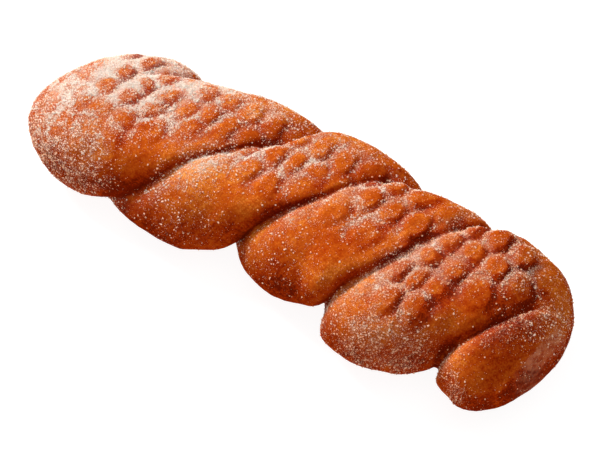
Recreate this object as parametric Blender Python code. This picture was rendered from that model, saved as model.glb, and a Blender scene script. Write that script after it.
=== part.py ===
"""A cinnamon twist: two strands of dough wound round each other, proofed against a wire screen and fried.

Metres, +Z up. X runs along the twist, from the blunt head at -X to the joined tail at +X, and Y across it.
The side that met the screen is on top, and the twist rests on the flats of its lobes at Z = 0.
The origin is under the middle of the twist, on that resting plane.

Everywhere below, "station" is a distance from the head's tip, and "turn" is a quarter of the way round a
cross-section: -1 is the near side (-Y), 0 the top, 1 the far side (+Y) and 2 the underside.
"""

import bmesh
import bpy
import numpy as np
from mathutils import Vector, noise

LENGTH = 0.196
HEAD_ROUNDING = 0.034
TAIL_ROUNDING = 0.022

# Outline seen from above, at the crest of each lobe: (station, Y of the edge).
NEAR_EDGE = (
    (0.000, -0.0340),
    (0.020, -0.0350),
    (0.055, -0.0353),
    (0.070, -0.0340),
    (0.081, -0.0295),
    (0.099, -0.0320),
    (0.108, -0.0322),
    (0.116, -0.0318),
    (0.126, -0.0378),
    (0.142, -0.0396),
    (0.154, -0.0370),
    (0.166, -0.0320),
    (0.184, -0.0366),
    (0.190, -0.0335),
    (0.196, -0.0230),
)
FAR_EDGE = (
    (0.000, 0.0055),
    (0.024, 0.0176),
    (0.040, 0.0228),
    (0.054, 0.0215),
    (0.075, 0.0258),
    (0.100, 0.0268),
    (0.117, 0.0287),
    (0.142, 0.0245),
    (0.166, 0.0240),
    (0.184, 0.0250),
    (0.196, 0.0220),
)
# Crest and belly of the lobes: (station, Z). The belly dips under the resting plane and is cut flat by it.
CREST = (
    (0.000, 0.034),
    (0.032, 0.043),
    (0.089, 0.043),
    (0.129, 0.042),
    (0.159, 0.044),
    (0.182, 0.036),
    (0.196, 0.029),
)
BELLY = ((0.000, 0.002), (0.032, -0.0015), (0.170, -0.0015), (0.196, 0.001))
WAIST_HEIGHT = 0.0175
SECTION_SQUARENESS = 2.25

# The two creases between the strands wind round the twist: (station, turn, depth as a share of the radius).
FIRST_CREASE = (
    (0.000, -2.80, 0.00),
    (0.022, -2.10, 0.05),
    (0.040, -1.25, 0.22),
    (0.058, -0.65, 0.22),
    (0.065, -0.30, 0.34),
    (0.086, 0.25, 0.40),
    (0.094, 0.80, 0.32),
    (0.115, 2.40, 0.30),
    (0.125, 2.90, 0.62),
    (0.130, 3.35, 0.40),
    (0.142, 3.95, 0.36),
    (0.154, 4.60, 0.26),
    (0.178, 6.20, 0.06),
    (0.196, 7.30, 0.00),
)
SECOND_CREASE = (
    (0.000, -0.60, 0.00),
    (0.020, -0.10, 0.03),
    (0.040, 0.45, 0.24),
    (0.050, 1.10, 0.34),
    (0.078, 2.30, 0.30),
    (0.087, 2.85, 0.50),
    (0.095, 3.35, 0.38),
    (0.113, 4.10, 0.33),
    (0.129, 4.70, 0.18),
    (0.156, 6.00, 0.25),
    (0.165, 6.60, 0.36),
    (0.168, 7.05, 0.38),
    (0.174, 7.50, 0.36),
    (0.182, 7.95, 0.30),
    (0.188, 8.20, 0.12),
    (0.196, 8.35, 0.00),
)
# Rounding of a lobe where it falls into a crease, on top and at the sides of the twist: 2 is a circle, more
# is fuller with a steeper side.
TOP_SQUARENESS = 2.7
SIDE_SQUARENESS = 2.0
# A crease counts as on top where the cosine of its angle from straight up is past the second of these.
SIDE_TO_TOP = (0.0, 0.7)
# The same where it rises out of the next crease: (station, squareness).
RISING_SQUARENESS = ((0.000, 2.1), (0.150, 2.1), (0.176, 3.4), (0.196, 3.4))

# The wire screen flattened the crest, and the dough rose in pads between the wires.
SCREEN_HEIGHT = 0.0385
SCREEN_SOFTNESS = 0.0016
PAD_RELIEF = 0.0014
PAD_REACH = 0.0065
PAD_FADE = 0.0020
# Share of the way from a pad's middle to the next furrow that stays flat.
PAD_FLAT = 0.45
# Pads are this many times longer across the twist than along it, and rise unevenly.
PAD_STRETCH = 1.3
PAD_RISE = 0.0004
PAD_SEED = 3
# The furrows across a pad's length are shallower, and all furrows vary: (wavelength, share, seed).
CROSS_FURROW_LOSS = 0.4
FURROW_VARIATION = (0.013, 0.6, 15.0)
SHALLOWEST_FURROW = 0.25
# Near the corner of three pads the furrow's direction is blended over about this distance.
FURROW_BLEND = 0.0006
FURROW_STRAY = 0.0011
FURROW_STRAY_LENGTH = 0.0065
FURROW_SEEDS = (5.0, 6.0)
# The wires' marks fade in between these heights.
MARKED_FROM = 0.0250
MARKED_TO = 0.0330
# The pads lie in rows: (station and Y of the first pad, station and Y step to the next one, how many).
PAD_ROWS = (
    (0.021, 0.010, 0.009, -0.002, 3),
    (0.054, 0.008, 0.0085, 0.0005, 5),
    (0.098, 0.009, 0.009, 0.001, 5),
    (0.154, 0.012, 0.0095, -0.0005, 4),
    (0.026, 0.000, 0.009, -0.0005, 4),
    (0.060, 0.001, 0.008, -0.001, 3),
    (0.087, 0.000, 0.0075, 0.0005, 3),
    (0.122, 0.002, 0.0085, -0.0005, 3),
    (0.151, 0.003, 0.009, -0.0005, 4),
    (0.025, -0.008, 0.009, 0.000, 3),
    (0.084, -0.010, 0.008, -0.002, 2),
    (0.102, -0.006, 0.013, -0.002, 3),
    (0.149, -0.007, 0.010, -0.001, 3),
    (0.021, -0.018, 0.009, 0.001, 4),
    (0.058, -0.007, 0.009, -0.001, 1),
    (0.144, -0.016, 0.007, 0.000, 3),
    (0.021, -0.026, 0.009, 0.000, 3),
    (0.147, -0.026, 0.009, 0.002, 2),
)

# Slow unevenness of the dough: (wavelength, height, seed).
UNEVENNESS = ((0.030, 0.0012, 11.0), (0.011, 0.0004, 12.0))
# How a seed moves the place where the noise is read.
SEED_SHIFT = Vector((1.0, 2.7, -1.3))

STRANDS = 2
COLUMNS_PER_STRAND = 80
HEAD_ROWS = 18
BODY_ROWS = 130
TAIL_ROWS = 16
EVEN_SPACING = 0.0008
SOFTENING = 0.5
SOFTENING_STEPS = 4
TRIANGLES = 10800
# The resting flats are made level again after the mesh is thinned out.
LEVELLED_BELOW = 0.00008

CRUST_COLOUR = (0.52, 0.17, 0.045, 1.0)
CRUST_ROUGHNESS = 0.55


def smooth_through(stations, at, value=1):
    """The value at each place of a smooth curve through the stations that never overshoots them."""
    x = np.array([row[0] for row in stations])
    y = np.array([row[value] for row in stations])
    step = np.diff(x)
    rise = np.diff(y) / step
    slope = np.zeros(len(x))
    same_way = rise[:-1] * rise[1:] > 0
    slope[1:-1][same_way] = 2 * rise[:-1][same_way] * rise[1:][same_way] / (rise[:-1] + rise[1:])[same_way]
    slope[0], slope[-1] = rise[0], rise[-1]
    i = np.clip(np.searchsorted(x, at, side="right") - 1, 0, len(x) - 2)
    t = (at - x[i]) / step[i]
    start = (1 + 2 * t) * (1 - t) ** 2 * y[i] + t * (1 - t) ** 2 * step[i] * slope[i]
    end = t**2 * (3 - 2 * t) * y[i + 1] - t**2 * (1 - t) * step[i] * slope[i + 1]
    return start + end


def rounded_end(share):
    """From 0 at a tip to 1 where the rounding ends, as a slightly squared circle."""
    share = np.clip(share, 0, 1)
    return (1 - (1 - share) ** SECTION_SQUARENESS) ** (1 / SECTION_SQUARENESS)


def squared(wave):
    return np.sign(wave) * np.abs(wave) ** (2 / SECTION_SQUARENESS)


def smoothstep(low, high, value):
    share = np.clip((value - low) / (high - low), 0, 1)
    return share * share * (3 - 2 * share)


def row_stations():
    """Stations of the rings: crowded at the rounded ends, even between them."""
    head = HEAD_ROUNDING * (1 - np.cos(np.linspace(0, np.pi / 2, HEAD_ROWS + 1)))
    tail = LENGTH - TAIL_ROUNDING * (1 - np.cos(np.linspace(np.pi / 2, 0, TAIL_ROWS + 1)))
    body = np.linspace(HEAD_ROUNDING, LENGTH - TAIL_ROUNDING, BODY_ROWS + 1)
    return np.concatenate([head[1:-1], body, tail[1:-1]])


def strand_surface(strand, at):
    """Points of one strand's half of the surface, a ring for each station: (stations, columns, 3)."""
    creases = (FIRST_CREASE, SECOND_CREASE)
    near_crease, far_crease = creases[strand], creases[1 - strand]
    start = smooth_through(near_crease, at) * np.pi / 2
    end = smooth_through(far_crease, at) * np.pi / 2 + 2 * np.pi * strand
    share = np.arange(COLUMNS_PER_STRAND) / COLUMNS_PER_STRAND
    angle = start[:, None] + (end - start)[:, None] * share

    from_crease = 1 - np.minimum(share, 1 - share) * 2
    on_top = smoothstep(*SIDE_TO_TOP, np.cos(start))[:, None]
    falling = SIDE_SQUARENESS + (TOP_SQUARENESS - SIDE_SQUARENESS) * on_top
    squareness = np.where(share < 0.5, falling, smooth_through(RISING_SQUARENESS, at)[:, None])
    dent = 1 - (1 - from_crease**squareness) ** (1 / squareness)
    depths = [smooth_through(c, at, value=2) for c in (near_crease, far_crease)]
    depth = np.where(share < 0.5, depths[0][:, None], depths[1][:, None])
    fullness = 1 - depth * dent
    return ring_points(at, angle, fullness)


def ring_points(at, angle, fullness):
    """Places angles on the cross-section at each station, drawn in towards its middle by fullness."""
    near, far = smooth_through(NEAR_EDGE, at), smooth_through(FAR_EDGE, at)
    top, bottom = smooth_through(CREST, at), smooth_through(BELLY, at)
    end = rounded_end(at / HEAD_ROUNDING) * rounded_end((LENGTH - at) / TAIL_ROUNDING)
    middle = (near + far) / 2
    half_width = (far - near) / 2 * end
    across, up = squared(np.sin(angle)), squared(np.cos(angle))
    rise, drop = (top - WAIST_HEIGHT) * end, (WAIST_HEIGHT - bottom) * end
    y = middle[:, None] + half_width[:, None] * across * fullness
    z = WAIST_HEIGHT + np.where(up > 0, rise[:, None], drop[:, None]) * up * fullness
    x = np.broadcast_to(at[:, None], y.shape)
    return np.stack([x, y, z], axis=-1)


def twist_rings():
    """The whole surface between the two tips: (stations, columns, 3)."""
    at = row_stations()
    return np.concatenate([strand_surface(strand, at) for strand in range(STRANDS)], axis=1)


def plain_mesh():
    """The two strands as rings of points, closed by a point at each tip."""
    rings = twist_rings()
    columns = rings.shape[1]
    shape = bmesh.new()
    loops = [[shape.verts.new(point) for point in ring] for ring in rings]
    ends = [ring.mean(axis=0) for ring in (rings[0], rings[-1])]
    head = shape.verts.new((0.0, *ends[0][1:]))
    tail = shape.verts.new((LENGTH, *ends[1][1:]))
    for lower, upper in zip(loops, loops[1:]):
        for i in range(columns):
            j = (i + 1) % columns
            shape.faces.new((lower[i], lower[j], upper[j], upper[i]))
    for i in range(columns):
        j = (i + 1) % columns
        shape.faces.new((head, loops[0][j], loops[0][i]))
        shape.faces.new((tail, loops[-1][i], loops[-1][j]))
    bmesh.ops.recalc_face_normals(shape, faces=shape.faces[:])
    mesh = bpy.data.meshes.new("plain_twist")
    shape.to_mesh(mesh)
    shape.free()
    return mesh


def applied(mesh, kind, **settings):
    """The mesh that one modifier makes of another mesh."""
    holder = bpy.data.objects.new("holder", mesh)
    bpy.context.scene.collection.objects.link(holder)
    modifier = holder.modifiers.new("only", kind)
    for name, value in settings.items():
        setattr(modifier, name, value)
    seen = holder.evaluated_get(bpy.context.evaluated_depsgraph_get())
    changed = bpy.data.meshes.new_from_object(seen)
    bpy.data.objects.remove(holder)
    return changed


def noise_at(points, scale, seed):
    """Smooth noise between about -1 and 1 at each point."""
    return np.array([noise.noise(Vector(point) + seed * SEED_SHIFT) for point in points / scale])


def pressed_by_screen(points):
    """Flattens the crest against the screen, without a sharp edge."""
    over = (points[:, 2] - SCREEN_HEIGHT) / SCREEN_SOFTNESS
    lowered = points.copy()
    lowered[:, 2] -= SCREEN_SOFTNESS * np.log1p(np.exp(over))
    return lowered


def pad_middles():
    """Station and Y of every pad's middle."""
    places = []
    for x, y, step_x, step_y, count in PAD_ROWS:
        places += [(x + i * step_x, y + i * step_y) for i in range(count)]
    return np.array(places)


def pad_pattern(points):
    """How far each point lies from a pad (0) to a furrow (1), that furrow's depth, and the pad's rise."""
    stray = [FURROW_STRAY * noise_at(points, FURROW_STRAY_LENGTH, seed) for seed in FURROW_SEEDS]
    middles = pad_middles()
    along = points[:, :1] + stray[0][:, None] - middles[:, 0]
    across = points[:, 1:2] + stray[1][:, None] - middles[:, 1]
    away = np.hypot(along, across / PAD_STRETCH)
    own = away.argmin(axis=1)
    nearest = away.min(axis=1)
    away[np.arange(len(points)), own] = np.inf
    second = away.min(axis=1)

    apart = np.abs(middles[:, None] - middles[None])
    crosswise = apart[..., 1] / np.maximum(np.hypot(apart[..., 0], apart[..., 1]), PAD_FADE)
    weight = np.exp((second[:, None] - away) / FURROW_BLEND)
    crosswise = (weight * crosswise[own]).sum(axis=1) / weight.sum(axis=1)
    wavelength, variation, seed = FURROW_VARIATION
    depth = 1 - CROSS_FURROW_LOSS * crosswise**2 + variation * noise_at(points, wavelength, seed)
    rise = np.random.default_rng(PAD_SEED).uniform(-1, 1, len(middles))[own]
    towards_furrow = 2 * nearest / (nearest + second)
    padded = 1 - smoothstep(PAD_REACH - PAD_FADE, PAD_REACH + PAD_FADE, nearest)
    marked = padded * smoothstep(MARKED_FROM, MARKED_TO, points[:, 2])
    furrow = smoothstep(PAD_FLAT, 1.0, towards_furrow)
    return furrow * marked, np.clip(depth, SHALLOWEST_FURROW, 1.0), rise * (1 - furrow) * marked


def shaped(points, normals):
    """Gives the plain surface its unevenness, flattened crest, pads and resting flats."""
    for scale, height, seed in UNEVENNESS:
        points = points + normals * (height * noise_at(points, scale, seed))[:, None]
    points = pressed_by_screen(points)
    furrow, depth, rise = pad_pattern(points)
    points = points + normals * (PAD_RISE * rise - PAD_RELIEF * furrow * depth)[:, None]
    points[:, 2] = np.maximum(points[:, 2], 0.0)
    middle = (points.min(axis=0) + points.max(axis=0)) / 2
    return points - (middle[0], middle[1], 0.0)


def twist_mesh():
    mesh = applied(plain_mesh(), "REMESH", mode="VOXEL", voxel_size=EVEN_SPACING)
    count = len(mesh.vertices)
    points, normals = np.empty(3 * count, np.float32), np.empty(3 * count, np.float32)
    mesh.vertices.foreach_get("co", points)
    mesh.vertices.foreach_get("normal", normals)
    points, normals = points.reshape(-1, 3).astype(float), normals.reshape(-1, 3).astype(float)
    mesh.vertices.foreach_set("co", shaped(points, normals).astype(np.float32).ravel())
    mesh = applied(mesh, "SMOOTH", factor=SOFTENING, iterations=SOFTENING_STEPS)
    share_kept = TRIANGLES / (2 * len(mesh.polygons))
    mesh = applied(mesh, "DECIMATE", ratio=share_kept, use_collapse_triangulate=True)
    for vertex in mesh.vertices:
        if vertex.co.z < LEVELLED_BELOW:
            vertex.co.z = 0.0
    mesh.shade_smooth()
    return mesh


def crust_material():
    material = bpy.data.materials.new("fried_crust")
    material.use_nodes = True
    shader = material.node_tree.nodes["Principled BSDF"]
    shader.inputs["Base Color"].default_value = CRUST_COLOUR
    shader.inputs["Roughness"].default_value = CRUST_ROUGHNESS
    shader.inputs["Metallic"].default_value = 0.0
    return material


def main():
    for old in list(bpy.data.objects):
        bpy.data.objects.remove(old)
    twist = bpy.data.objects.new("dough_twist", twist_mesh())
    twist.data.name = "dough_twist"
    twist.data.materials.append(crust_material())
    bpy.context.scene.collection.objects.link(twist)


main()
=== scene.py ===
"""The looks of the cinnamon twist: its fried crust, with pads, furrows and wrinkles, and its cinnamon sugar.

Metres, +Z up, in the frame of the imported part. "Station" is a distance from the head's tip along the twist,
and "turn" is a quarter of the way round a cross-section: -1 is the near side (-Y), 0 the top, 1 the far side
(+Y) and 2 the underside.
"""

import math

import bmesh
import bpy
import numpy as np
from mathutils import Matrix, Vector, noise


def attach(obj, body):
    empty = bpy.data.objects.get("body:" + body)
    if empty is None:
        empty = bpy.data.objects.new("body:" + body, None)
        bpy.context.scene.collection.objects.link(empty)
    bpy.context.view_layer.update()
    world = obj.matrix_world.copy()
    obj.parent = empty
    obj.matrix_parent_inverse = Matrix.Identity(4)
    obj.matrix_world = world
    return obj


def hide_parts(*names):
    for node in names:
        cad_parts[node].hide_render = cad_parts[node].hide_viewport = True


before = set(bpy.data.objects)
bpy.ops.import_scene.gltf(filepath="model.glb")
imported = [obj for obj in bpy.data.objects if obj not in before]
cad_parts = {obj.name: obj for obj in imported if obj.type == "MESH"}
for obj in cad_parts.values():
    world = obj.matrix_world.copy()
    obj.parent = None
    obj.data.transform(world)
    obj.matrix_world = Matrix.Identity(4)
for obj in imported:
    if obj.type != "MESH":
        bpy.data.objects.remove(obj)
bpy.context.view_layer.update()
NODE = "dough_twist"
BODY = "root"

# The twist's plain form, as in the part.
LENGTH = 0.196
HEAD_ROUNDING = 0.034
TAIL_ROUNDING = 0.022
NEAR_EDGE = (
    (0.000, -0.0340),
    (0.020, -0.0350),
    (0.055, -0.0353),
    (0.070, -0.0340),
    (0.081, -0.0295),
    (0.099, -0.0320),
    (0.108, -0.0322),
    (0.116, -0.0318),
    (0.126, -0.0378),
    (0.142, -0.0396),
    (0.154, -0.0370),
    (0.166, -0.0320),
    (0.184, -0.0366),
    (0.190, -0.0335),
    (0.196, -0.0230),
)
FAR_EDGE = (
    (0.000, 0.0055),
    (0.024, 0.0176),
    (0.040, 0.0228),
    (0.054, 0.0215),
    (0.075, 0.0258),
    (0.100, 0.0268),
    (0.117, 0.0287),
    (0.142, 0.0245),
    (0.166, 0.0240),
    (0.184, 0.0250),
    (0.196, 0.0220),
)
CREST = (
    (0.000, 0.034),
    (0.032, 0.043),
    (0.089, 0.043),
    (0.129, 0.042),
    (0.159, 0.044),
    (0.182, 0.036),
    (0.196, 0.029),
)
BELLY = ((0.000, 0.002), (0.032, -0.0015), (0.170, -0.0015), (0.196, 0.001))
WAIST_HEIGHT = 0.0175
SECTION_SQUARENESS = 2.25
# Creases between the strands: (station, turn, depth as a share of the radius).
FIRST_CREASE = (
    (0.000, -2.80, 0.00),
    (0.022, -2.10, 0.05),
    (0.040, -1.25, 0.22),
    (0.058, -0.65, 0.22),
    (0.065, -0.30, 0.34),
    (0.086, 0.25, 0.40),
    (0.094, 0.80, 0.32),
    (0.115, 2.40, 0.30),
    (0.125, 2.90, 0.62),
    (0.130, 3.35, 0.40),
    (0.142, 3.95, 0.36),
    (0.154, 4.60, 0.26),
    (0.178, 6.20, 0.06),
    (0.196, 7.30, 0.00),
)
SECOND_CREASE = (
    (0.000, -0.60, 0.00),
    (0.020, -0.10, 0.03),
    (0.040, 0.45, 0.24),
    (0.050, 1.10, 0.34),
    (0.078, 2.30, 0.30),
    (0.087, 2.85, 0.50),
    (0.095, 3.35, 0.38),
    (0.113, 4.10, 0.33),
    (0.129, 4.70, 0.18),
    (0.156, 6.00, 0.25),
    (0.165, 6.60, 0.36),
    (0.168, 7.05, 0.38),
    (0.174, 7.50, 0.36),
    (0.182, 7.95, 0.30),
    (0.188, 8.20, 0.12),
    (0.196, 8.35, 0.00),
)
TOP_SQUARENESS = 2.7
SIDE_SQUARENESS = 2.0
# A strand is rounder where its crease lies at the side, up to this cosine of the crease's turn, than on top.
SIDE_TO_TOP = (0.0, 0.7)
RISING_SQUARENESS = ((0.000, 2.1), (0.150, 2.1), (0.176, 3.4), (0.196, 3.4))

# The screen's flat and the pads that rose between its wires.
SCREEN_HEIGHT = 0.0385
SCREEN_SOFTNESS = 0.0016
PAD_RELIEF = 0.0014
PAD_REACH = 0.0065
PAD_FADE = 0.0020
PAD_FLAT = 0.45
# Pads are this many times longer across the twist than along it, and rise unevenly.
PAD_STRETCH = 1.3
PAD_RISE = 0.0004
PAD_SEED = 3
# The furrows across a pad's length are shallower, and all furrows vary: (wavelength, share, seed).
CROSS_FURROW_LOSS = 0.4
FURROW_VARIATION = (0.013, 0.6, 15.0)
SHALLOWEST_FURROW = 0.25
FURROW_BLEND = 0.0006
FURROW_STRAY = 0.0011
FURROW_STRAY_LENGTH = 0.0065
FURROW_SEEDS = (5.0, 6.0)
MARKED_FROM = 0.0250
MARKED_TO = 0.0330
# Rows of pads: (station and Y of the first pad, station and Y step to the next one, how many).
PAD_ROWS = (
    (0.021, 0.010, 0.009, -0.002, 3),
    (0.054, 0.008, 0.0085, 0.0005, 5),
    (0.098, 0.009, 0.009, 0.001, 5),
    (0.154, 0.012, 0.0095, -0.0005, 4),
    (0.026, 0.000, 0.009, -0.0005, 4),
    (0.060, 0.001, 0.008, -0.001, 3),
    (0.087, 0.000, 0.0075, 0.0005, 3),
    (0.122, 0.002, 0.0085, -0.0005, 3),
    (0.151, 0.003, 0.009, -0.0005, 4),
    (0.025, -0.008, 0.009, 0.000, 3),
    (0.084, -0.010, 0.008, -0.002, 2),
    (0.102, -0.006, 0.013, -0.002, 3),
    (0.149, -0.007, 0.010, -0.001, 3),
    (0.021, -0.018, 0.009, 0.001, 4),
    (0.058, -0.007, 0.009, -0.001, 1),
    (0.144, -0.016, 0.007, 0.000, 3),
    (0.021, -0.026, 0.009, 0.000, 3),
    (0.147, -0.026, 0.009, 0.002, 2),
)
# A pad's side that looks this way, in X and Y, away from the key light, is steeper, stays bare of sugar and
# is darkened with painted shade.
LEE_SIDE = (0.98, -0.17)
LEE_SHIFT = 0.35
# That side fades in the more a point lies that way from the pad's middle, and nears the furrow: (from, to).
LEE_TURN = (0.10, 0.80)
LEE_BAND = (0.30, 0.60)
# A point nearer a pad's middle than this belongs less to any side.
PAD_CENTRE = 0.0005
# How strongly the pads stand out: (station, share).
PAD_STRENGTH = (
    (0.000, 0.65),
    (0.060, 0.70),
    (0.110, 0.85),
    (0.145, 1.00),
    (0.170, 0.95),
    (0.196, 0.60),
)
# Places where the pads are flatter: (station, Y, reach, share of them that is missing).
FLATTER = ((0.028, -0.024, 0.014, 0.75),)
# How strongly the pads' lee sides show, in their painted shade and their loss of sugar: (station, share).
LEE_STRENGTH = (
    (0.000, 1.00),
    (0.040, 1.00),
    (0.070, 0.55),
    (0.105, 0.55),
    (0.140, 1.00),
    (0.196, 1.00),
)
# A thin raised seam across the tail's end, with dusty dough beyond it: (Y, station).
TAIL_SEAM = ((-0.0300, 0.1885), (-0.0170, 0.1908), (0.0000, 0.1922))
SEAM_REACH = 0.0006
SEAM_RISE = 0.00012
SEAM_PALENESS = 0.16
# It fades in and out across the tail, and in above the floor: (from, to).
SEAM_STARTS = (-0.0310, -0.0270)
SEAM_ENDS = (-0.0010, 0.0030)
SEAM_LIFTS = (0.008, 0.016)
# The dusty dough starts and ends this far past the seam, and fades in across the tail: (from, to).
DUSTY_STARTS = (0.0, 0.0010)
DUSTY_ENDS = (0.0020, 0.0045)
DUSTY_ACROSS = (-0.024, -0.012)
DUSTY_PALENESS = 0.04
# The dough's own unevenness: (wavelength, height, seed).
UNEVENNESS = ((0.030, 0.0012, 11.0), (0.011, 0.0004, 12.0))
SEED_SHIFT = Vector((1.0, 2.7, -1.3))

# The fine crust.
STRANDS = 2
COLUMNS_PER_STRAND = 80
HEAD_ROWS = 18
BODY_ROWS = 130
TAIL_ROWS = 16
FINE_SPACING = 0.0007
# A place nearer a tip than this counts as if it stood there, because the section has no width at the tip.
TIP_MARGIN = 0.001
# Skin relief: (wavelength, height, seed).
SKIN = ((0.0045, 0.00014, 21.0), (0.0018, 0.00006, 22.0))
# Stretch wrinkles along the strands: how many across a strand, how many to a metre along it, height, seed.
WRINKLES = ((7.0, 50.0, 0.00030, 31.0), (22.0, 90.0, 0.00006, 32.0))
# The noise of the two strands lies this far apart, so that they aren't alike.
STRAND_SHIFT = 5.0
# Only this share of the wrinkles is left on the crest, which fades in between these heights.
WRINKLES_ON_CREST = 0.3
CREST_HEIGHT = (0.030, 0.038)
# Painted shade: the dough is darker the less it looks up, between these Z of its normal.
DOWNWARD_SHADE_FACING = (-0.15, 0.85)
# The painted shade along a crease reaches this far to each side, and fades in with the crease's depth: (from,
# to).
CREASE_REACH = 0.0020
CREASE_DEPTHS = (0.05, 0.30)
# The sides of a crease, as shares of the way across a strand: (from, to). The falling side is darkened with
# painted shade.
FALLING_SIDE = (0.02, 0.22)
RISING_SIDE = (0.80, 0.93)

# How thick the sugar is on smooth dough, and what a furrow adds to it.
COVER = (0.20, 1.4)
# The same in a thicker place, as shares of its amount.
THICKER_COVER = (0.6, 1.4)
# A cover this thick has all the haze that a cover gives.
FULL_COVER = 4.0
# What a crease's rising side gains, and the shares that its falling side and a pad's lee side lose.
COVER_ON_SIDES = (0.5, 0.75, 0.85)
FILM_ON_SIDES = (0.04, 0.9, 0.9)
# How thick the finest sugar is in every furrow, and on the pads of a dusted place.
FILM_IN_FURROWS = 0.06
FILM_ON_PADS = 0.02
# A dusted furrow's coat fades in between these places on the pad's slope.
FILM_EDGE = (0.16, 0.38)
# Its edge is ragged: (wavelength, height, seed).
RAGGED_EDGE = (0.0014, 0.18, 45.0)
# The pads of a dusted place lose this share of their grains, down to these places on the slope.
DUSTED_PADS_LOSS = 0.7
PAD_TOPS = (0.05, 0.30)
# A pale coat lies in patches of noise: (wavelength, seed). They fade in between two of its values.
COAT_PATCHES = (0.0045, 46.0)
COAT_EDGE = (-0.35, 0.25)
# It also adds this much to the cover.
COAT_COVER = 3.0
# Sugar lies on what looks up, by its normal's Z, and this share of it also sticks below.
FACING_UP = (-0.5, 0.6)
COVER_BELOW = 0.12
# Sugar lies in clumps, strings and drifts: (wavelength, height, seed).
CLUMPS = ((0.0035, 1.0, 41.0), (0.0013, 0.8, 42.0))
DRIFTS = (0.012, 1.0, 43.0)
STRINGS = (0.0040, 2.5, 44.0)
# How much they change the cover and the finest sugar: (strings, drifts).
COVER_SWINGS = (0.8, 0.5)
FILM_SWINGS = (0.5, 0.7)

# Sugar lies thicker in places: (station, Y, reach, how much thicker).
SUGARED = (
    (0.036, 0.014, 0.012, 2.4),
    (0.047, -0.008, 0.010, 2.4),
    (0.010, -0.013, 0.008, 2.4),
    (0.018, 0.003, 0.008, 2.4),
    (0.046, 0.007, 0.009, 1.8),
    (0.031, -0.006, 0.010, 2.2),
    (0.020, -0.009, 0.010, 2.2),
    (0.016, -0.028, 0.015, 2.4),
    (0.034, -0.030, 0.009, 1.6),
    (0.061, -0.024, 0.004, 2.4),
    (0.067, -0.016, 0.007, 4.0),
    (0.075, -0.011, 0.007, 1.8),
    (0.100, -0.022, 0.008, 0.6),
    (0.124, -0.006, 0.008, 0.8),
    (0.138, -0.019, 0.008, 0.5),
    (0.145, -0.039, 0.013, 2.1),
    (0.158, -0.036, 0.008, 1.0),
    (0.155, -0.010, 0.014, 0.3),
    (0.176, 0.004, 0.012, 0.5),
    (0.181, -0.019, 0.004, 2.0),
    (0.184, -0.009, 0.005, 2.0),
    (0.189, 0.002, 0.006, 1.2),
    (0.177, -0.035, 0.003, 2.5),
    (0.071, 0.010, 0.015, 1.0),
    (0.101, 0.010, 0.013, 0.6),
)
# The finest sugar makes a pale coat in the furrows: (station, Y, reach, how thick).
DUSTED = (
    (0.036, 0.016, 0.013, 0.90),
    (0.046, 0.006, 0.007, 0.60),
    (0.031, -0.003, 0.008, 0.75),
    (0.019, -0.004, 0.009, 0.55),
    (0.067, -0.016, 0.006, 0.35),
    (0.155, -0.006, 0.012, 0.05),
)
# Places with a pale coat all over: (station, Y, reach, how thick).
COATED = (
    (0.052, 0.021, 0.009, 0.45),
    (0.032, 0.020, 0.010, 0.60),
    (0.018, 0.004, 0.007, 0.40),
    (0.009, -0.013, 0.007, 0.45),
)
# Bare places: (station, Y, reach, share of the sugar that is missing).
BARE = (
    (0.110, -0.031, 0.010, 0.60),
    (0.052, -0.029, 0.008, 0.90),
    (0.060, -0.021, 0.005, 0.85),
    (0.093, -0.023, 0.008, 0.95),
    (0.085, -0.017, 0.006, 0.60),
    (0.128, -0.021, 0.008, 0.85),
    (0.172, -0.016, 0.009, 0.90),
    (0.188, -0.023, 0.009, 0.90),
    (0.182, -0.028, 0.006, 0.60),
    (0.196, -0.012, 0.008, 0.75),
    (0.178, -0.004, 0.005, 0.50),
    (0.135, -0.040, 0.007, 0.80),
    (0.183, 0.012, 0.007, 0.60),
)
# Paler, golden places, and darker ones with an amount under zero: partly the crust's own tone, partly painted
# light that lifts places left in shade and painted shade that darkens places left too light: (station, Y,
# reach, amount).
GOLDEN_PLACES_AND_PAINTED_LIGHT = (
    (0.064, -0.020, 0.006, 0.24),
    (0.072, -0.018, 0.005, 0.14),
    (0.092, -0.024, 0.007, 0.06),
    # These four darken a stripe that the lighting left too light: painted shade.
    (0.124, -0.024, 0.005, -0.10),
    (0.128, -0.016, 0.005, -0.14),
    (0.131, -0.008, 0.005, -0.12),
    (0.134, 0.001, 0.005, -0.08),
    (0.096, -0.031, 0.004, 0.12),
    (0.187, -0.020, 0.013, -0.20),
    (0.182, -0.013, 0.008, -0.24),
    (0.050, -0.014, 0.008, -0.07),
    (0.174, -0.029, 0.006, 0.24),
    (0.110, -0.028, 0.009, -0.08),
    (0.071, 0.008, 0.018, 0.11),
    (0.101, 0.010, 0.016, 0.08),
    (0.150, -0.034, 0.012, -0.05),
    (0.066, -0.034, 0.010, -0.05),
    (0.164, -0.006, 0.018, -0.06),
    (0.136, -0.021, 0.006, 0.26),
    (0.129, -0.030, 0.006, 0.20),
    (0.174, -0.021, 0.005, 0.14),
    (0.175, -0.014, 0.004, 0.10),
    (0.192, -0.004, 0.007, -0.10),
    (0.150, -0.042, 0.009, 0.16),
    (0.020, -0.030, 0.010, 0.06),
)

# The grains. They are sunk or raised by these shares of their size, and stretched by these factors.
GRAIN_SEED = 7
GRAIN_LIFT = (-0.05, 0.30)
GRAIN_STRETCH = (0.75, 1.25)
# They are whiter in a thick cover, and warmer and darker below and towards the tail, as painted shade: (how
# much, from, to).
WHITER_THICK = (0.60, 1.5, 9.0)
GRAINS_PAINTED_SHADE_BELOW = (0.5, -0.1, 0.7)
GRAINS_PAINTED_SHADE_TAIL = (0.35, 0.090, 0.160)
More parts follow.
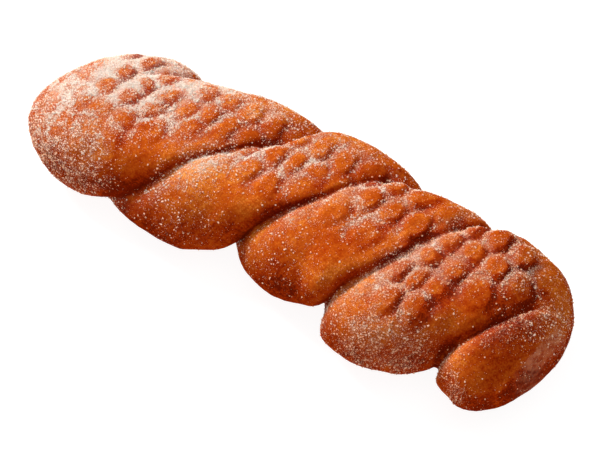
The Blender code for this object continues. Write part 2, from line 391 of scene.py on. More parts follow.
# Kinds of grain: (name, how many, smallest and largest size, triangles in one).
GRAIN_KINDS = (
    ("sugar_coarse", 9000, 0.00028, 0.00044, 12),
    ("sugar_middling", 24500, 0.00022, 0.00032, 8),
    ("sugar_fine", 24500, 0.00016, 0.00024, 8),
    ("sugar_dust", 49000, 0.00009, 0.00015, 4),
)
# Forms of grain by their number of triangles: (corners, sides).
GRAIN_FORMS = {
    12: (
        ((-1, -1, -1), (1, -1, -1), (1, 1, -1), (-1, 1, -1), (-1, -1, 1), (1, -1, 1), (1, 1, 1), (-1, 1, 1)),
        ((0, 3, 2, 1), (4, 5, 6, 7), (0, 1, 5, 4), (1, 2, 6, 5), (2, 3, 7, 6), (3, 0, 4, 7)),
    ),
    8: (
        ((1, 0, 0), (-1, 0, 0), (0, 1, 0), (0, -1, 0), (0, 0, 1), (0, 0, -1)),
        ((0, 2, 4), (2, 1, 4), (1, 3, 4), (3, 0, 4), (2, 0, 5), (1, 2, 5), (3, 1, 5), (0, 3, 5)),
    ),
    4: (
        ((1, 1, 1), (-1, -1, 1), (-1, 1, -1), (1, -1, -1)),
        ((0, 2, 1), (0, 1, 3), (0, 3, 2), (1, 2, 3)),
    ),
}

# Colours of the dough, from a deep crease to the palest crust, and their places on its tone from 0 to 1. The
# darkest one is painted crease shade, reached where painted shade lowers the tone.
DEEP_CREASE_SHADE = (0.130, 0.007, 0.0006, 1.0)
RED_BROWN = (0.300, 0.0235, 0.0011, 1.0)
FRIED_ORANGE = (0.470, 0.083, 0.0055, 1.0)
GOLDEN = (0.700, 0.220, 0.030, 1.0)
PALE_GOLD = (0.800, 0.400, 0.110, 1.0)
DOUGH_COLOURS = (
    (0.0, DEEP_CREASE_SHADE),
    (0.22, RED_BROWN),
    (0.58, FRIED_ORANGE),
    (0.86, GOLDEN),
    (1.0, PALE_GOLD),
)
# Colours of the finest sugar, thick and thin, and of a grain by itself and where the crust shines through,
# which is also the painted shade of grains below and towards the tail.
SUGAR_FILM = (0.90, 0.65, 0.55, 1.0)
SUGAR_HAZE = (0.66, 0.30, 0.16, 1.0)
WHITE_GRAIN = (0.98, 0.80, 0.71, 1.0)
WARM_GRAIN = (0.82, 0.38, 0.21, 1.0)
# Painted shade, which darkens the dough's tone in furrows and creases, on faces that look down, on a crease's
# falling side and on the pads' lee sides: (attribute, from, to, how much).
TONE_PAINTED_SHADE = (
    ("furrow", 0.2, 1.0, 0.15),
    ("downward_painted_shade", 0.0, 1.0, 0.38),
    ("falling", 0.0, 1.0, 0.14),
    ("crease", 0.1, 1.0, 0.26),
    ("lee", 0.0, 1.0, 0.28),
)
# The dough's tone is lowered by this much all over.
DARKER_ALL_OVER = 0.10
# Noises in the looks: (scale, detail, roughness).
PATCHES = (70.0, 3.0, 0.55)
STREAKS = (1.0, 4.0, 0.55)
MOTTLE = (420.0, 4.0, 0.55)
SPECKLE = (1700.0, 2.0, 0.6)
GRAINY = (2000.0, 2.0, 0.7)
PORES = (1200.0, 5.0, 0.7)
TINTS = (1500.0, 1.0, 0.55)
# Streaks to a strand's width, to a metre along it, and from one strand to the other.
STREAK_COUNTS = (34.0, 70.0, 9.0)
# What the noises add to the dough's tone: (from, to, least, most).
PATCHES_TO_TONE = (0.3, 0.7, 0.30, 0.50)
STREAKS_TO_TONE = (0.3, 0.7, 0.0, 0.12)
MOTTLE_TO_TONE = (0.3, 0.7, 0.0, 0.18)
SPECKLE_TO_TONE = (0.35, 0.70, 0.0, 0.24)
# How they break up the cover's haze, the dusty dough and the film: (from, to, least, most).
GRAINY_TO_HAZE = (0.45, 0.62, 0.0, 0.30)
MOTTLE_TO_DUST = (0.40, 0.60, 0.08, 0.42)
GRAINY_TO_FILM = (0.38, 0.56, 0.30, 1.0)
# Dough under a thicker film is rougher: (from, to, least, most).
FILM_TO_ROUGHNESS = (0.0, 0.7, 0.42, 0.75)
PORE_DEPTH = 0.0004
PORE_STRENGTH = 0.5
# Grains turn from white to warm between these values of their noise.
TINT_RANGE = (0.35, 0.65)
# Values of the two materials, by the name of their socket.
DOUGH_VALUES = {
    "Specular IOR Level": 0.0,
    "Subsurface Weight": 0.25,
    "Subsurface Radius": (1.0, 0.25, 0.06),
    "Subsurface Scale": 0.004,
}
SUGAR_VALUES = {
    "Roughness": 0.30,
    "Specular IOR Level": 0.5,
    "Subsurface Weight": 0.6,
    "Subsurface Radius": (1.0, 0.8, 0.7),
    "Subsurface Scale": 0.0005,
}

# The camera stands where the photograph was taken from.
CAMERA_AZIMUTH = math.radians(35.0)
CAMERA_ELEVATION = math.radians(52.0)
CAMERA_DISTANCE = 0.80
CAMERA_TARGET = Vector((0.0036, -0.0022, 0.019))
WIDTH_SEEN = 0.1925
SENSOR = 36.0

# The stage is a pale floor that glows a little, just under the twist.
FLOOR_SIZE = 6.0
FLOOR_HEIGHT = -0.0002
FLOOR_VALUES = {
    "Base Color": (0.20, 0.20, 0.20, 1.0),
    "Roughness": 0.9,
    "Emission Color": (1.0, 1.0, 1.0, 1.0),
    "Emission Strength": 0.92,
}
STUDIO_COLOUR = (1.0, 0.97, 0.93, 1.0)
STUDIO_STRENGTH = 0.34
# Lights: (name, place, size, power, colour). They are aimed at the twist's middle.
LIGHTS = (
    ("key", (-0.98, 0.15, 1.02), 0.50, 25.0, (1.0, 0.95, 0.87)),
    ("fill", (0.3, -0.2, 1.3), 1.0, 4.0, (1.0, 1.0, 1.0)),
)
LIGHTS_TARGET = Vector((0.0, 0.0, 0.02))


def smooth_through(stations, at, value=1):
    """The value at each place of a smooth curve through the stations that never overshoots them."""
    x = np.array([row[0] for row in stations])
    y = np.array([row[value] for row in stations])
    step = np.diff(x)
    rise = np.diff(y) / step
    slope = np.zeros(len(x))
    same_way = rise[:-1] * rise[1:] > 0
    slope[1:-1][same_way] = 2 * rise[:-1][same_way] * rise[1:][same_way] / (rise[:-1] + rise[1:])[same_way]
    slope[0], slope[-1] = rise[0], rise[-1]
    i = np.clip(np.searchsorted(x, at, side="right") - 1, 0, len(x) - 2)
    t = (at - x[i]) / step[i]
    start = (1 + 2 * t) * (1 - t) ** 2 * y[i] + t * (1 - t) ** 2 * step[i] * slope[i]
    end = t**2 * (3 - 2 * t) * y[i + 1] - t**2 * (1 - t) * step[i] * slope[i + 1]
    return start + end


def rounded_end(share):
    """From 0 at a tip to 1 where the rounding ends, as a slightly squared circle."""
    share = np.clip(share, 0, 1)
    return (1 - (1 - share) ** SECTION_SQUARENESS) ** (1 / SECTION_SQUARENESS)


def powered(wave, power):
    return np.sign(wave) * np.abs(wave) ** power


def smoothstep(low, high, value):
    share = np.clip((value - low) / (high - low), 0, 1)
    return share * share * (3 - 2 * share)


def row_stations():
    """Stations of the rings: crowded at the rounded ends, even between them."""
    head = HEAD_ROUNDING * (1 - np.cos(np.linspace(0, np.pi / 2, HEAD_ROWS + 1)))
    tail = LENGTH - TAIL_ROUNDING * (1 - np.cos(np.linspace(np.pi / 2, 0, TAIL_ROWS + 1)))
    body = np.linspace(HEAD_ROUNDING, LENGTH - TAIL_ROUNDING, BODY_ROWS + 1)
    return np.concatenate([head[1:-1], body, tail[1:-1]])


def strand_surface(strand, at):
    """Points of one strand's half of the surface, a ring for each station: (stations, columns, 3)."""
    creases = (FIRST_CREASE, SECOND_CREASE)
    near_crease, far_crease = creases[strand], creases[1 - strand]
    start = smooth_through(near_crease, at) * np.pi / 2
    end = smooth_through(far_crease, at) * np.pi / 2 + 2 * np.pi * strand
    share = np.arange(COLUMNS_PER_STRAND) / COLUMNS_PER_STRAND
    angle = start[:, None] + (end - start)[:, None] * share

    from_crease = 1 - np.minimum(share, 1 - share) * 2
    on_top = smoothstep(*SIDE_TO_TOP, np.cos(start))[:, None]
    falling = SIDE_SQUARENESS + (TOP_SQUARENESS - SIDE_SQUARENESS) * on_top
    squareness = np.where(share < 0.5, falling, smooth_through(RISING_SQUARENESS, at)[:, None])
    dent = 1 - (1 - from_crease**squareness) ** (1 / squareness)
    depths = [smooth_through(c, at, value=2) for c in (near_crease, far_crease)]
    depth = np.where(share < 0.5, depths[0][:, None], depths[1][:, None])
    fullness = 1 - depth * dent
    return ring_points(at, angle, fullness)


def section(at):
    """The cross-section at each station: its middle, half width, rise over the waist and drop under it."""
    near, far = smooth_through(NEAR_EDGE, at), smooth_through(FAR_EDGE, at)
    top, bottom = smooth_through(CREST, at), smooth_through(BELLY, at)
    end = rounded_end(at / HEAD_ROUNDING) * rounded_end((LENGTH - at) / TAIL_ROUNDING)
    rise, drop = (top - WAIST_HEIGHT) * end, (WAIST_HEIGHT - bottom) * end
    return (near + far) / 2, (far - near) / 2 * end, rise, drop


def ring_points(at, angle, fullness):
    """Places angles on the cross-section at each station, drawn in towards its middle by fullness."""
    middle, half_width, rise, drop = section(at)
    power = 2 / SECTION_SQUARENESS
    across, up = powered(np.sin(angle), power), powered(np.cos(angle), power)
    y = middle[:, None] + half_width[:, None] * across * fullness
    z = WAIST_HEIGHT + np.where(up > 0, rise[:, None], drop[:, None]) * up * fullness
    x = np.broadcast_to(at[:, None], y.shape)
    return np.stack([x, y, z], axis=-1)


def plain_mesh():
    """The two strands as rings of points, closed by a point at each tip."""
    at = row_stations()
    rings = np.concatenate([strand_surface(strand, at) for strand in range(STRANDS)], axis=1)
    columns = rings.shape[1]
    shape = bmesh.new()
    loops = [[shape.verts.new(point) for point in ring] for ring in rings]
    ends = [ring.mean(axis=0) for ring in (rings[0], rings[-1])]
    head = shape.verts.new((0.0, *ends[0][1:]))
    tail = shape.verts.new((LENGTH, *ends[1][1:]))
    for lower, upper in zip(loops, loops[1:]):
        for i in range(columns):
            j = (i + 1) % columns
            shape.faces.new((lower[i], lower[j], upper[j], upper[i]))
    for i in range(columns):
        j = (i + 1) % columns
        shape.faces.new((head, loops[0][j], loops[0][i]))
        shape.faces.new((tail, loops[-1][i], loops[-1][j]))
    bmesh.ops.recalc_face_normals(shape, faces=shape.faces[:])
    mesh = bpy.data.meshes.new("plain_twist")
    shape.to_mesh(mesh)
    shape.free()
    return mesh


def evened(mesh, spacing):
    """The same surface with evenly spaced points."""
    holder = bpy.data.objects.new("evened", mesh)
    bpy.context.scene.collection.objects.link(holder)
    remesh = holder.modifiers.new("even", "REMESH")
    remesh.mode = "VOXEL"
    remesh.voxel_size = spacing
    seen = holder.evaluated_get(bpy.context.evaluated_depsgraph_get())
    even = bpy.data.meshes.new_from_object(seen)
    bpy.data.objects.remove(holder)
    return even


def noise_at(points, wavelength, seed):
    """Smooth noise between about -1 and 1 at each point."""
    return np.array([noise.noise(Vector(point) + seed * SEED_SHIFT) for point in points / wavelength])


def pressed_by_screen(points):
    """Flattens the crest against the screen, without a sharp edge."""
    over = (points[:, 2] - SCREEN_HEIGHT) / SCREEN_SOFTNESS
    lowered = points.copy()
    lowered[:, 2] -= SCREEN_SOFTNESS * np.log1p(np.exp(over))
    return lowered


def pad_middles():
    """Station and Y of every pad's middle."""
    places = []
    for x, y, step_x, step_y, count in PAD_ROWS:
        places += [(x + i * step_x, y + i * step_y) for i in range(count)]
    return np.array(places)


def furrow_depth(points, middles, own, away):
    """How deep the furrow beside each point's own pad is: shallower across a pad's length."""
    apart = np.abs(middles[:, None] - middles[None])
    crosswise = apart[..., 1] / np.maximum(np.hypot(apart[..., 0], apart[..., 1]), PAD_FADE)
    weight = np.exp((away.min(axis=1)[:, None] - away) / FURROW_BLEND)
    crosswise = (weight * crosswise[own]).sum(axis=1) / weight.sum(axis=1)
    wavelength, variation, seed = FURROW_VARIATION
    depth = 1 - CROSS_FURROW_LOSS * crosswise**2 + variation * noise_at(points, wavelength, seed)
    return np.clip(depth, SHALLOWEST_FURROW, 1.0)


def pad_pattern(points):
    """Each point's way from pad (0) to furrow (1), its furrow's depth, and its pad's rise and lee side."""
    stray = [FURROW_STRAY * noise_at(points, FURROW_STRAY_LENGTH, seed) for seed in FURROW_SEEDS]
    middles = pad_middles()
    along = points[:, :1] + stray[0][:, None] - middles[:, 0]
    across = points[:, 1:2] + stray[1][:, None] - middles[:, 1]
    away = np.hypot(along, across / PAD_STRETCH)
    own = away.argmin(axis=1)
    nearest = away.min(axis=1)
    index = np.arange(len(points))
    away[index, own] = np.inf
    second = away.min(axis=1)

    rise = np.random.default_rng(PAD_SEED).uniform(-1, 1, len(middles))[own]
    padded = 1 - smoothstep(PAD_REACH - PAD_FADE, PAD_REACH + PAD_FADE, nearest)
    marked = padded * smoothstep(MARKED_FROM, MARKED_TO, points[:, 2])
    leeward = LEE_SIDE[0] * along[index, own] + LEE_SIDE[1] * across[index, own]
    leeward = leeward / np.maximum(nearest, PAD_CENTRE)
    towards_furrow = 2 * nearest / (nearest + second)
    towards_furrow = towards_furrow - LEE_SHIFT * np.clip(leeward, -1, 1) * (1 - towards_furrow)
    furrow = smoothstep(PAD_FLAT, 1.0, towards_furrow)
    lee = smoothstep(*LEE_TURN, leeward) * smoothstep(*LEE_BAND, towards_furrow) * marked
    depth = furrow_depth(points, middles, own, away)
    return furrow * marked, depth, rise * (1 - furrow) * marked, lee


def strand_places(points):
    """Each point's strand (0 or 1), its share across it, and the nearest crease's distance and depth."""
    at = np.clip(points[:, 0], TIP_MARGIN, LENGTH - TIP_MARGIN)
    middle, half_width, rise, drop = section(at)
    across = (points[:, 1] - middle) / half_width
    up = (points[:, 2] - WAIST_HEIGHT) / np.where(points[:, 2] > WAIST_HEIGHT, rise, drop)
    power = SECTION_SQUARENESS / 2
    turn = np.arctan2(powered(across, power), powered(up, power)) / (np.pi / 2)
    first, second = smooth_through(FIRST_CREASE, at), smooth_through(SECOND_CREASE, at)
    from_first, from_second = (turn - first) % 4, (turn - second) % 4
    in_first = from_first < second - first
    share = np.where(in_first, from_first / (second - first), from_second / (4 - second + first))
    radius = np.hypot(points[:, 1] - middle, points[:, 2] - WAIST_HEIGHT)
    depths = [smooth_through(c, at, value=2) for c in (FIRST_CREASE, SECOND_CREASE)]
    gaps = [np.minimum(turned, 4 - turned) * np.pi / 2 * radius for turned in (from_first, from_second)]
    nearest = np.where(gaps[0] < gaps[1], gaps[0], gaps[1])
    depth = np.where(gaps[0] < gaps[1], depths[0], depths[1])
    return np.where(in_first, 0.0, 1.0), share, nearest, depth


def strand_noise(strand, share, station, across, along, seed):
    """Noise drawn out along the strands."""
    places = np.stack([share * across, station * along, strand * STRAND_SHIFT], axis=1)
    return noise_at(places, 1.0, seed)


def mesh_arrays(mesh):
    """A mesh's points and their normals, each as (count, 3)."""
    count = len(mesh.vertices)
    points, normals = np.empty(3 * count, np.float32), np.empty(3 * count, np.float32)
    mesh.vertices.foreach_get("co", points)
    mesh.vertices.foreach_get("normal", normals)
    return points.reshape(-1, 3).astype(float), normals.reshape(-1, 3).astype(float)


def near_places(points, places):
    """For each place a soft blob, 1 at its middle and fading out over its reach."""
    for station, y, reach, amount in places:
        away = np.hypot(points[:, 0] - station, points[:, 1] - y) / reach
        yield amount * np.exp(-(away**2))


def in_furrows(shares, furrow):
    """An amount on smooth dough, with what a furrow adds to it."""
    return shares[0] + shares[1] * furrow**2


def on_sides(amount, shares, falling, rising, lee):
    """An amount of sugar, changed on the two sides of a crease and on the lee side of a pad."""
    return (amount + shares[0] * rising) * (1 - shares[1] * falling) * (1 - shares[2] * lee)


def sugar_cover(points, normals, furrow, falling, rising, lee):
    """How thickly sugar lies at each point, and how thick its finest dust is."""
    dusted = sum(near_places(points, DUSTED))
    cover = in_furrows(COVER, furrow)
    for blob in near_places(points, SUGARED):
        cover = cover + blob * in_furrows(THICKER_COVER, furrow)
    cover = cover * (1 - DUSTED_PADS_LOSS * np.clip(dusted, 0, 1) * (1 - smoothstep(*PAD_TOPS, furrow)))
    wavelength, height, seed = RAGGED_EDGE
    ragged = furrow + height * noise_at(points, wavelength, seed)
    film = FILM_IN_FURROWS * furrow**2 + dusted * (FILM_ON_PADS + smoothstep(*FILM_EDGE, ragged))
    cover = on_sides(cover, COVER_ON_SIDES, falling, rising, lee)
    film = on_sides(film, FILM_ON_SIDES, falling, rising, lee)
    for blob in near_places(points, BARE):
        cover = cover * (1 - blob)
        film = film * (1 - blob)
    coated = sum(near_places(points, COATED)) * smoothstep(*COAT_EDGE, noise_at(points, *COAT_PATCHES))
    film = film + coated
    cover = cover + COAT_COVER * coated
    return strewn_unevenly(points, cover, film, smoothstep(*FACING_UP, normals[:, 2]))


def strewn_unevenly(points, cover, film, facing_up):
    """Cover and film, less where a point doesn't look up, and gathered in clumps, strings and drifts."""
    clumps = sum(height * noise_at(points, wavelength, seed) for wavelength, height, seed in CLUMPS)
    wavelength, height, seed = STRINGS
    strings = 1 - height * np.abs(noise_at(points, wavelength, seed))
    wavelength, height, seed = DRIFTS
    drifts = height * noise_at(points, wavelength, seed)
    cover = cover * (COVER_BELOW + (1 - COVER_BELOW) * facing_up)
    cover = cover * np.exp(clumps + COVER_SWINGS[0] * strings + COVER_SWINGS[1] * drifts)
    film = film * facing_up * np.exp(FILM_SWINGS[0] * strings + FILM_SWINGS[1] * drifts)
    return cover, np.clip(film, 0, 1)


def tail_seam(points):
    """The seam across the tail's end, and the dusty dough beyond it, both from 0 to 1."""
    y = np.clip(points[:, 1], TAIL_SEAM[0][0], TAIL_SEAM[-1][0])
    past = points[:, 0] - smooth_through(TAIL_SEAM, y)
    faded = smoothstep(*SEAM_STARTS, points[:, 1]) * (1 - smoothstep(*SEAM_ENDS, points[:, 1]))
    faded = faded * smoothstep(*SEAM_LIFTS, points[:, 2])
    seam = faded * np.exp(-((past / SEAM_REACH) ** 2))
    dusty = faded * smoothstep(*DUSTY_STARTS, past) * (1 - smoothstep(*DUSTY_ENDS, past))
    return seam, dusty


def crest_marks(points):
    """The furrows and the pads' lee sides, both from 0 to 1, and the pads' relief."""
    furrow, depth, rise, lee = pad_pattern(points)
    station = np.clip(points[:, 0], 0, LENGTH)
    marked = 1 - sum(near_places(points, FLATTER))
    furrow = furrow * marked
    lee = lee * marked * smooth_through(LEE_STRENGTH, station)
    relief = marked * smooth_through(PAD_STRENGTH, station) * (PAD_RISE * rise - PAD_RELIEF * furrow * depth)
    return furrow, lee, relief


def skin_relief(points, strand, share):
    """The skin's fine relief, and its wrinkles along the strands, which are weaker on the crest."""
    relief = sum(height * noise_at(points, wavelength, seed) for wavelength, height, seed in SKIN)
    flank = 1 - smoothstep(*CREST_HEIGHT, points[:, 2])
    for across, along, height, seed in WRINKLES:
        wrinkle = strand_noise(strand, share, points[:, 0], across, along, seed)
        relief = relief + height * (WRINKLES_ON_CREST + (1 - WRINKLES_ON_CREST) * flank) * wrinkle
    return relief


def moved_to(mesh, points):
    """Moves the mesh's points, centred over the origin as the part is, and gives their new normals."""
    middle = (points.min(axis=0) + points.max(axis=0)) / 2
    centred = points - (middle[0], middle[1], 0.0)
    mesh.vertices.foreach_set("co", centred.astype(np.float32).ravel())
    mesh.shade_smooth()
    mesh.update()
    return mesh_arrays(mesh)[1]


def crust_mesh():
    """The fine crust, with what its material and the sugar need kept as attributes of its points."""
    mesh = evened(plain_mesh(), FINE_SPACING)
    mesh.name = "crust"
    points, normals = mesh_arrays(mesh)
    strand, share, crease_gap, crease_depth = strand_places(points)
    # Painted shade on the faces that look down.
    downward_painted_shade = 1 - smoothstep(*DOWNWARD_SHADE_FACING, normals[:, 2])
    for wavelength, height, seed in UNEVENNESS:
        points = points + normals * (height * noise_at(points, wavelength, seed))[:, None]
    points = pressed_by_screen(points)
    furrow, lee, relief = crest_marks(points)
    seam, dusty = tail_seam(points)
    relief = relief + SEAM_RISE * seam + skin_relief(points, strand, share)
    points = points + normals * relief[:, None]
    points[:, 2] = np.maximum(points[:, 2], 0.0)
    normals = moved_to(mesh, points)

    deep = smoothstep(*CREASE_DEPTHS, crease_depth)
    # The falling side gets painted shade in the material, as well as less sugar.
    falling = (1 - smoothstep(*FALLING_SIDE, share)) * deep
    rising = smoothstep(*RISING_SIDE, share) * deep
    cover, film = sugar_cover(points, normals, furrow, falling, rising, lee)
    dusty = dusty * smoothstep(*DUSTY_ACROSS, points[:, 1])
    # Paler and darker places: partly the crust's own tone, partly painted light and painted shade.
    golden_and_painted_light = sum(near_places(points, GOLDEN_PLACES_AND_PAINTED_LIGHT)) + SEAM_PALENESS * seam + DUSTY_PALENESS * dusty
    values = {
        "furrow": furrow,
        # Painted shade along the creases.
        "crease": np.exp(-((crease_gap / CREASE_REACH) ** 2)) * deep,
        "film": film,
        "cover": np.clip(cover / FULL_COVER, 0, 1),
        "downward_painted_shade": downward_painted_shade,
        "falling": falling,
        "golden_and_painted_light": golden_and_painted_light,
        "lee": lee,
        "dusty": dusty,
    }
    for name, value in values.items():
        write_values(mesh, name, value)
    places = np.stack([share, points[:, 0], strand], axis=1)
    layer = mesh.attributes.new("strand_place", "FLOAT_VECTOR", "POINT")
    layer.data.foreach_set("vector", places.astype(np.float32).ravel())
    return mesh, cover


def write_values(mesh, name, values):
    """Keeps a number for each point of a mesh, for its material to read."""
    layer = mesh.attributes.new(name, "FLOAT", "POINT")
    layer.data.foreach_set("value", values.astype(np.float32))


class Nodes:
    """Adds and joins nodes of one material."""

    def __init__(self, material):
        material.use_nodes = True
        self.tree = material.node_tree
        self.shader = self.tree.nodes["Principled BSDF"]

    def add(self, kind, **values):
        node = self.tree.nodes.new(kind)
        for name, value in values.items():
            setattr(node, name, value)
        return node

    def join(self, out, to):
        self.tree.links.new(out, to)

    def set_values(self, values):
        """Sets values on the material's shader, by the name of their socket."""
        for name, value in values.items():
            self.shader.inputs[name].default_value = value

    def value(self, operation, first, second):
        """A Math node on sockets or numbers, kept between 0 and 1."""
        node = self.add("ShaderNodeMath", operation=operation, use_clamp=True)
        for socket, given in zip(node.inputs, (first, second)):
            self.give(socket, given)
        return node.outputs[0]

    def give(self, socket, given):
        if isinstance(given, bpy.types.NodeSocket):
            self.join(given, socket)
        else:
            socket.default_value = given

    def attribute(self, name, output="Fac"):
        return self.add("ShaderNodeAttribute", attribute_name=name).outputs[output]

    def stretched(self, vector, factors):
        """A vector whose axes are multiplied by a factor each."""
        node = self.add("ShaderNodeVectorMath", operation="MULTIPLY")
        node.inputs[1].default_value = factors
        self.join(vector, node.inputs[0])
        return node.outputs[0]

    def noise(self, vector, scale, detail, roughness):
        node = self.add("ShaderNodeTexNoise")
        node.inputs["Scale"].default_value = scale
        node.inputs["Detail"].default_value = detail
        node.inputs["Roughness"].default_value = roughness
        self.join(vector, node.inputs["Vector"])
        return node.outputs[0]

    def span(self, value, low, high, to_low=0.0, to_high=1.0):
        """Maps a range onto another one, smoothly and clamped."""
        node = self.add("ShaderNodeMapRange", interpolation_type="SMOOTHSTEP")
        for socket, given in zip(node.inputs, (value, low, high, to_low, to_high)):
            self.give(socket, given)
        return node.outputs[0]

    def mix(self, share, first, second):
        """A colour between two, each a socket or an RGB value."""
        node = self.add("ShaderNodeMix", data_type="RGBA")
        sockets = [s for s in node.inputs if s.type == "RGBA"]
        self.give(node.inputs[0], share)
        for socket, given in zip(sockets, (first, second)):
            self.give(socket, given)
        return [s for s in node.outputs if s.type == "RGBA"][0]

    def ramp(self, value, stops):
        """The colour at a value between stops, each a place from 0 to 1 and its colour."""
        node = self.add("ShaderNodeValToRGB")
        ramp = node.color_ramp
        while len(ramp.elements) < len(stops):
            ramp.elements.new(0.5)
        for element, (place, colour) in zip(ramp.elements, stops):
            element.position = place
            element.color = colour
        self.join(value, node.inputs[0])
        return node.outputs[0]


def dough_tone(n, place, mottle):
    """How pale the dough is, from 0 in a deep crease to 1 on the palest crust, lowered by painted shade."""
    strand_place = n.stretched(n.attribute("strand_place", "Vector"), STREAK_COUNTS)
    streaks = n.noise(strand_place, *STREAKS)
    patches = n.noise(place, *PATCHES)
    speckle = n.noise(place, *SPECKLE)
    tone = n.value("ADD", n.span(patches, *PATCHES_TO_TONE), n.span(streaks, *STREAKS_TO_TONE))
    tone = n.value("ADD", tone, n.span(mottle, *MOTTLE_TO_TONE))
    # Painted shade: darker in furrows and creases, on faces that look down, on a crease's falling side and on
    # the pads' lee sides.
    for name, low, high, amount in TONE_PAINTED_SHADE:
        tone = n.value("SUBTRACT", tone, n.span(n.attribute(name), low, high, 0.0, amount))
    # Paler and darker places, partly painted light and painted shade, and the tail's pale seam and dusty
    # dough.
    tone = n.value("ADD", tone, n.attribute("golden_and_painted_light"))
    tone = n.value("ADD", tone, n.span(speckle, *SPECKLE_TO_TONE))
    return n.value("SUBTRACT", tone, DARKER_ALL_OVER)


def crust_material():
    """Fried dough: orange-brown on the pads, with painted shade that makes it redder and darker in furrows
    and creases, on faces that look down and on the pads' lee sides, streaked along the strands.
    """
    material = bpy.data.materials.new("fried_crust_looks")
    n = Nodes(material)
    place = n.add("ShaderNodeTexCoord").outputs["Object"]
    mottle = n.noise(place, *MOTTLE)
    grainy = n.noise(place, *GRAINY)
    colour = n.ramp(dough_tone(n, place, mottle), DOUGH_COLOURS)
    haze = n.value("MULTIPLY", n.attribute("cover"), n.span(grainy, *GRAINY_TO_HAZE))
    colour = n.mix(haze, colour, SUGAR_HAZE)
    dusty = n.value("MULTIPLY", n.attribute("dusty"), n.span(mottle, *MOTTLE_TO_DUST))
    colour = n.mix(dusty, colour, SUGAR_HAZE)
    film = n.value("MULTIPLY", n.attribute("film"), n.span(grainy, *GRAINY_TO_FILM))
    colour = n.mix(film, colour, SUGAR_FILM)
    n.join(colour, n.shader.inputs["Base Color"])
    n.join(n.span(film, *FILM_TO_ROUGHNESS), n.shader.inputs["Roughness"])
    n.set_values(DOUGH_VALUES)
    bump = n.add("ShaderNodeBump")
    bump.inputs["Strength"].default_value = PORE_STRENGTH
    bump.inputs["Distance"].default_value = PORE_DEPTH
    n.join(n.noise(place, *PORES), bump.inputs["Height"])
    n.join(bump.outputs[0], n.shader.inputs["Normal"])
    return material


def sugar_material():
    """Sugar grains: white to orange, as the crust shows through them and as painted shade darkens the grains
    below and towards the tail.
    """
    material = bpy.data.materials.new("sugar")
    n = Nodes(material)
    place = n.add("ShaderNodeTexCoord").outputs["Object"]
    tint = n.span(n.noise(place, *TINTS), *TINT_RANGE)
    tint = n.value("SUBTRACT", tint, n.attribute("whiter"))
    n.join(n.mix(tint, WHITE_GRAIN, WARM_GRAIN), n.shader.inputs["Base Color"])
    n.set_values(SUGAR_VALUES)
    return material


def triangle_arrays(mesh):
    """The three points of each of a mesh's triangles, by their number: (count, 3)."""
    mesh.calc_loop_triangles()
    corners = np.empty(3 * len(mesh.loop_triangles), np.int32)
    mesh.loop_triangles.foreach_get("vertices", corners)
    return corners.reshape(-1, 3)


def random_turns(random, count):
    """Evenly random rotations as matrices: (count, 3, 3)."""
    q = random.normal(size=(count, 4))
    q /= np.linalg.norm(q, axis=1)[:, None]
    w, x, y, z = q.T
    rows = (
        (1 - 2 * (y * y + z * z), 2 * (x * y - z * w), 2 * (x * z + y * w)),
        (2 * (x * y + z * w), 1 - 2 * (x * x + z * z), 2 * (y * z - x * w)),
        (2 * (x * z - y * w), 2 * (y * z + x * w), 1 - 2 * (x * x + y * y)),
    )
    return np.stack([np.stack(row, axis=1) for row in rows], axis=1)


def strewn_places(crust, cover, count, random):
    """Random places on the crust, more where the cover is thicker, with each one's way out and cover."""
    corners = triangle_arrays(crust)
    points, normals = mesh_arrays(crust)
    triangle = points[corners]
    edges = triangle[:, 1:] - triangle[:, :1]
    area = np.linalg.norm(np.cross(edges[:, 0], edges[:, 1]), axis=1)
    covered = cover[corners].mean(axis=1)
    chance = area * covered
    chosen = random.choice(len(corners), size=count, p=chance / chance.sum())
    shares = random.dirichlet((1.0, 1.0, 1.0), size=count)[..., None]
    place = (triangle[chosen] * shares).sum(axis=1)
    outward = (normals[corners[chosen]] * shares).sum(axis=1)
    outward /= np.linalg.norm(outward, axis=1)[:, None]
    return place, outward, covered[chosen]


def how_much_whiter(place, outward, covered):
    """How much whiter than its noise says each grain is, and warmer where this is under zero: painted shade
    on grains that look down and on grains towards the tail.
    """
    amount, low, high = WHITER_THICK
    whiter = amount * smoothstep(low, high, covered)
    amount, low, high = GRAINS_PAINTED_SHADE_BELOW
    whiter = whiter - amount * (1 - smoothstep(low, high, outward[:, 2]))
    amount, low, high = GRAINS_PAINTED_SHADE_TAIL
    return whiter - amount * smoothstep(low, high, place[:, 0] + LENGTH / 2)


def joined_mesh(name, vertices, faces):
    """A mesh of faces that all have the same number of corners."""
    mesh = bpy.data.meshes.new(name)
    mesh.vertices.add(len(vertices))
    mesh.vertices.foreach_set("co", vertices.astype(np.float32).ravel())
    mesh.loops.add(faces.size)
    mesh.loops.foreach_set("vertex_index", faces.astype(np.int32).ravel())
    mesh.polygons.add(len(faces))
    mesh.polygons.foreach_set("loop_start", np.arange(0, faces.size, faces.shape[1], dtype=np.int32))
    mesh.update(calc_edges=True)
    return mesh


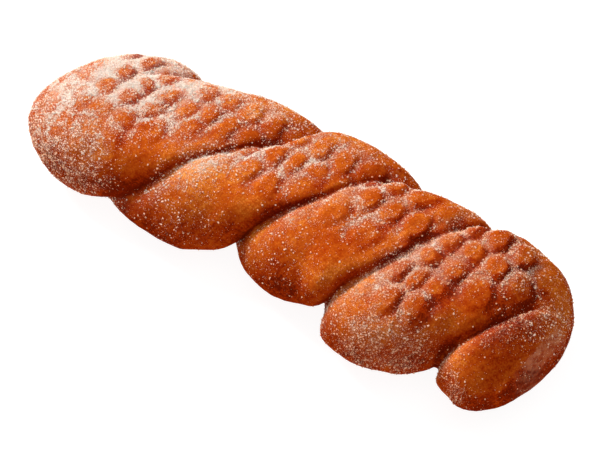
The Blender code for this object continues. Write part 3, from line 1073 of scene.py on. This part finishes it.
def grains(name, crust, cover, count, smallest, largest, form, random):
    """Grains of one kind strewn over the crust, joined in one mesh."""
    place, outward, covered = strewn_places(crust, cover, count, random)
    size = smallest * (largest / smallest) ** random.random(count)
    place = place + outward * (size * random.uniform(*GRAIN_LIFT, count))[:, None]
    shape, sides = GRAIN_FORMS[form]
    stretch = random.uniform(*GRAIN_STRETCH, (count, 1, 3))
    local = np.array(shape, float) * stretch * (size / 2)[:, None, None]
    turned = np.einsum("nij,nkj->nki", random_turns(random, count), local)
    vertices = (turned + place[:, None]).reshape(-1, 3)
    vertices[:, 2] = np.maximum(vertices[:, 2], 0.0)
    first_corner = len(shape) * np.arange(count)[:, None, None]
    faces = (np.array(sides)[None] + first_corner).reshape(-1, len(sides[0]))
    mesh = joined_mesh(name, vertices, faces)
    whiter = how_much_whiter(place, outward, covered)
    write_values(mesh, "whiter", np.repeat(whiter, len(shape)))
    return mesh


def shown(name, mesh, material):
    """A piece of the twist with one material, on the twist's body."""
    piece = bpy.data.objects.new(name, mesh)
    mesh.materials.append(material)
    bpy.context.scene.collection.objects.link(piece)
    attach(piece, BODY)
    return piece


def make_twist():
    mesh, cover = crust_mesh()
    crust = shown("crust", mesh, crust_material())
    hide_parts(NODE)
    sugar = sugar_material()
    random = np.random.default_rng(GRAIN_SEED)
    for name, count, smallest, largest, form in GRAIN_KINDS:
        shown(name, grains(name, mesh, cover, count, smallest, largest, form, random), sugar)


def aimed(thing, place, target):
    """Puts a camera or a light in its place and turns it to the target."""
    thing.location = place
    thing.rotation_mode = "QUATERNION"
    thing.rotation_quaternion = (place - target).to_track_quat("Z", "Y")


def make_camera():
    camera = bpy.data.objects.new("camera", bpy.data.cameras.new("camera"))
    bpy.context.scene.collection.objects.link(camera)
    camera.data.sensor_width = SENSOR
    camera.data.lens = SENSOR * CAMERA_DISTANCE / WIDTH_SEEN
    flat, up = math.cos(CAMERA_ELEVATION), math.sin(CAMERA_ELEVATION)
    away = Vector((math.sin(CAMERA_AZIMUTH) * flat, -math.cos(CAMERA_AZIMUTH) * flat, up))
    aimed(camera, CAMERA_TARGET + away * CAMERA_DISTANCE, CAMERA_TARGET)
    bpy.context.scene.camera = camera


def make_light(name, place, size, power, colour):
    light = bpy.data.objects.new(name, bpy.data.lights.new(name, "AREA"))
    bpy.context.scene.collection.objects.link(light)
    light.data.size = size
    light.data.energy = power
    light.data.color = colour
    aimed(light, Vector(place), LIGHTS_TARGET)


def make_floor():
    bpy.ops.mesh.primitive_plane_add(size=FLOOR_SIZE, location=(0.0, 0.0, FLOOR_HEIGHT))
    floor = bpy.context.object
    floor.name = "floor"
    material = bpy.data.materials.new("floor")
    Nodes(material).set_values(FLOOR_VALUES)
    floor.data.materials.append(material)


def make_stage():
    make_floor()
    world = bpy.data.worlds.new("studio")
    bpy.context.scene.world = world
    world.use_nodes = True
    background = world.node_tree.nodes["Background"]
    background.inputs["Color"].default_value = STUDIO_COLOUR
    background.inputs["Strength"].default_value = STUDIO_STRENGTH
    for light in LIGHTS:
        make_light(*light)
    bpy.context.scene.view_settings.view_transform = "Standard"


make_camera()
make_stage()
make_twist()
